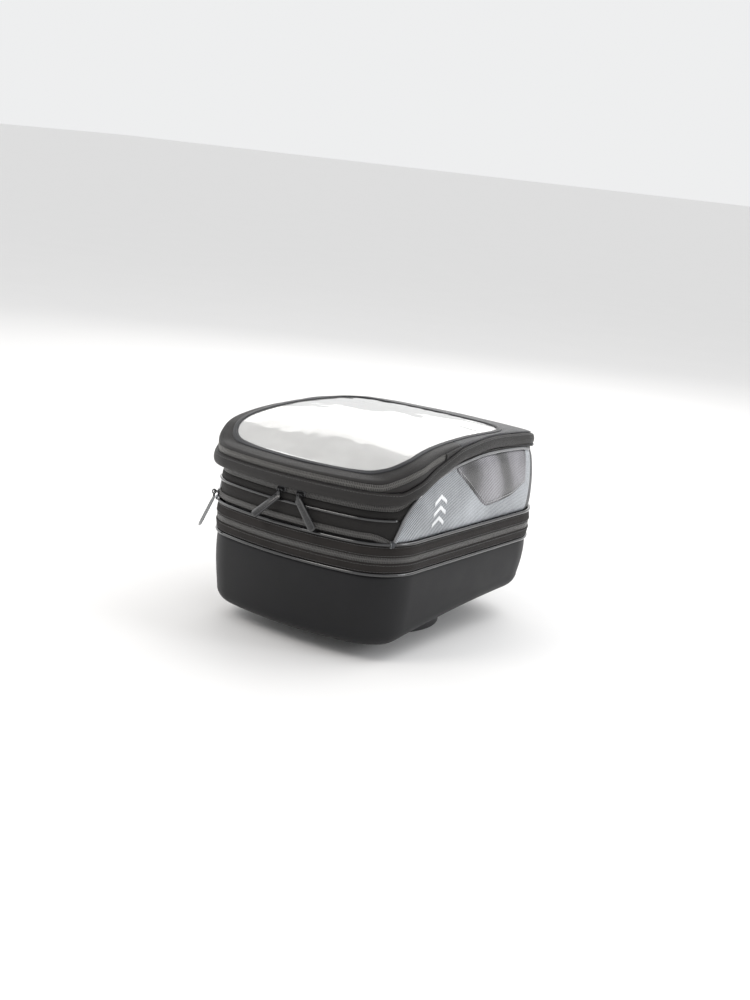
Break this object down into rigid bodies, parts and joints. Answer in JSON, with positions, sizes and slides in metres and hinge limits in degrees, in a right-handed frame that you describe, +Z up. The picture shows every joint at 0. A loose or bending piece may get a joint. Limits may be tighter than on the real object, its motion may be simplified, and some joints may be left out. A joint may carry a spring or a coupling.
{
  "type": "tank bag",
  "caption": "Expandable motorcycle tank bag with moulded base, clear map window, hinged lid, zips and a quick-lock ring mount.",
  "frame": {"origin": "centre of the tank-ring socket's mouth, in the underside of the lock housing", "axes": "+Z up, +Y to the front of the motorcycle, +X to its right"},
  "size_m": [0.2588, 0.3678, 0.2187],
  "materials": {
    "shell_eva": "moulded EVA with a smooth laminated fabric face, matt",
    "board": "semi-rigid PE board",
    "lock_plastic": "glass-filled nylon, fine spark texture",
    "latch_red": "red acetal",
    "steel": "zinc-plated steel",
    "spring_steel": "spring wire",
    "webbing": "ribbed polyester webbing",
    "piping_gloss": "glossy PVC piping",
    "piping_silver": "silver reflective piping",
    "nylon_band": "woven polyester, warm dark grey",
    "nylon_dark": "woven polyester, dark grey",
    "zip_coil": "nylon coil zip on woven tape",
    "lining": "thin coated nylon",
    "foam": "closed-cell foam with a thin lining",
    "silver_weave": "silver-grey carbon-look laminate",
    "carbon_dark": "dark carbon-look laminate, glossy",
    "clear_pvc": "clear flexible PVC sheet",
    "slider_metal": "black enamelled zinc",
    "pull_rubber": "moulded soft PVC"
  },
  "bodies": {
    "base": {"base_shell": "shell_eva", "base_stiffener": "board", "lock_housing": "lock_plastic", "lock_backing_plate": "steel", "lock_screws": "steel", "lock_nuts": "steel", "latch_springs": "spring_steel", "lower_piping": "piping_gloss", "lower_band": "nylon_band", "expansion_zip_lower_chain": "zip_coil", "expansion_gusset": "lining"},
    "lock_latch": {"lock_slider": "latch_red", "release_strap": "webbing"},
    "upper": {"expansion_zip_upper_chain": "zip_coil", "upper_band": "nylon_band", "upper_piping": "piping_gloss", "rear_panel": "nylon_dark", "front_panel": "nylon_dark", "wall_foam": "foam", "left_side_panel": "silver_weave", "right_side_panel": "silver_weave", "left_side_insert": "carbon_dark", "right_side_insert": "carbon_dark", "left_side_piping": "piping_silver", "right_side_piping": "piping_silver", "pocket_zip_chain": "zip_coil", "pocket_cover": "nylon_dark", "pocket_piping": "piping_gloss", "main_zip_lower_chain": "zip_coil", "carry_handle": "webbing"},
    "lid": {"main_zip_upper_chain": "zip_coil", "lid_band": "nylon_dark", "lid_stiffener": "board", "map_pocket_floor": "nylon_dark", "map_zip_lower_chain": "zip_coil", "map_zip_garages": "nylon_dark", "lid_front_panel": "nylon_dark", "window_front": "clear_pvc"},
    "map_flap": {"map_zip_upper_chain": "zip_coil", "map_border": "nylon_dark", "window_flap": "clear_pvc"},
    "main_slider_left": {"main_slider_left": "slider_metal"},
    "main_pull_left": {"main_pull_left": "pull_rubber"},
    "main_slider_right": {"main_slider_right": "slider_metal"},
    "main_pull_right": {"main_pull_right": "pull_rubber"},
    "pocket_slider": {"pocket_slider": "slider_metal"},
    "pocket_pull": {"pocket_pull": "pull_rubber"},
    "expansion_slider": {"expansion_slider": "slider_metal"},
    "expansion_pull": {"expansion_pull": "pull_rubber"},
    "map_slider": {"map_slider": "slider_metal"},
    "map_pull": {"map_pull": "pull_rubber"}
  },
  "joints": [
    {"name": "latch_slide", "type": "slide", "parent": "base", "child": "lock_latch", "axis": [0, -1, 0], "range_m": [0, 0.006], "stiffness_N_per_m": 600, "deforming": ["latch_springs"]},
    {"name": "expansion_lift", "type": "slide", "parent": "base", "child": "upper", "axis": [0, 0, 1], "range_m": [0, 0.055], "deforming": ["expansion_gusset"]},
    {"name": "lid_hinge", "type": "hinge", "parent": "upper", "child": "lid", "pos_m": [0, 0.168, 0.1815], "axis": [-1, 0, 0], "range_deg": [0, 100]},
    {"name": "map_flap_hinge", "type": "hinge", "parent": "lid", "child": "map_flap", "pos_m": [0, -0.045, 0.2173], "axis": [-1, 0, 0], "range_deg": [0, 75]},
    {"name": "main_zip_left_run", "type": "hinge", "parent": "upper", "child": "main_slider_left", "pos_m": [0, 0.194, 0.159], "axis": [0, 0, -1], "range_deg": [0, 8]},
    {"name": "main_zip_right_run", "type": "hinge", "parent": "upper", "child": "main_slider_right", "pos_m": [0, 0.194, 0.159], "axis": [0, 0, 1], "range_deg": [0, 6.5]},
    {"name": "pocket_zip_run", "type": "hinge", "parent": "upper", "child": "pocket_slider", "pos_m": [-0.06721, -0.10863, 0.131], "axis": [0, 0, 1], "range_deg": [0, 42]},
    {"name": "expansion_zip_run", "type": "slide", "parent": "base", "child": "expansion_slider", "axis": [-0.02, -0.9998, 0], "range_m": [-0.06, 0.1]},
    {"name": "map_zip_run", "type": "slide", "parent": "lid", "child": "map_slider", "axis": [-0.0196, -0.9788, -0.2037], "range_m": [0, 0.005]},
    {"name": "main_pull_left_swing", "type": "hinge", "parent": "main_slider_left", "child": "main_pull_left", "pos_m": [-0.00705, -0.17083, 0.159], "axis": [-0.9998, 0.0193, 0], "range_deg": [-14, 100]},
    {"name": "main_pull_right_swing", "type": "hinge", "parent": "main_slider_right", "child": "main_pull_right", "pos_m": [0.01712, -0.1705, 0.159], "axis": [-0.9989, -0.0469, 0], "range_deg": [-5, 110]},
    {"name": "pocket_pull_swing", "type": "hinge", "parent": "pocket_slider", "child": "pocket_pull", "pos_m": [-0.11156, -0.14584, 0.131], "axis": [-0.6428, 0.766, 0], "range_deg": [-12, 100]},
    {"name": "expansion_pull_swing", "type": "hinge", "parent": "expansion_slider", "child": "expansion_pull", "pos_m": [-0.12134, 0.02009, 0.108], "axis": [0.02, 0.9998, 0], "range_deg": [-3, 110]},
    {"name": "map_pull_swing", "type": "hinge", "parent": "map_slider", "child": "map_pull", "pos_m": [-0.12643, -0.09385, 0.20251], "axis": [0.0196, 0.9788, 0.2037], "range_deg": [-4, 90]}
  ]
}
